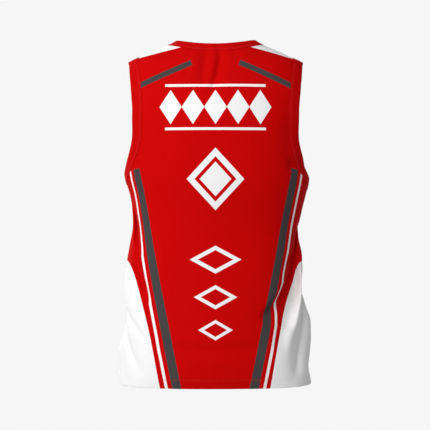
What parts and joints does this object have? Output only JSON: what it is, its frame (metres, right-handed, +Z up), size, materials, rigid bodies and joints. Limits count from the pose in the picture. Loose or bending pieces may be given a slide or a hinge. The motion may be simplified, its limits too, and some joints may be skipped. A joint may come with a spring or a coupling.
{
  "type": "lacrosse pinnie",
  "caption": "Sleeveless lacrosse pinnie with a bound round neck, deep bound armholes, shoulder yokes and flared side inserts, filled out as if worn.",
  "frame": {"origin": "the neck point: the middle of the neck opening, level with the top of the shoulders", "axes": "+Z up, +Y the way the wearer faces, so the back of the garment faces -Y; +X to the wearer's right"},
  "size_m": [0.417, 0.2402, 0.7386],
  "materials": {
    "main_knit": "smooth polyester interlock knit with a faint sheen",
    "band_knit": "folded self-fabric binding with twin-needle stitching",
    "pale_knit": "smooth white polyester interlock knit"
  },
  "bodies": {
    "root": {"neck_band": "band_knit", "armhole_band_left": "band_knit", "armhole_band_right": "band_knit", "shoulder_yoke_left": "pale_knit", "shoulder_yoke_right": "pale_knit", "side_insert_left": "pale_knit", "side_insert_right": "pale_knit", "back_panel": "main_knit", "front_panel": "main_knit"}
  },
  "joints": []
}
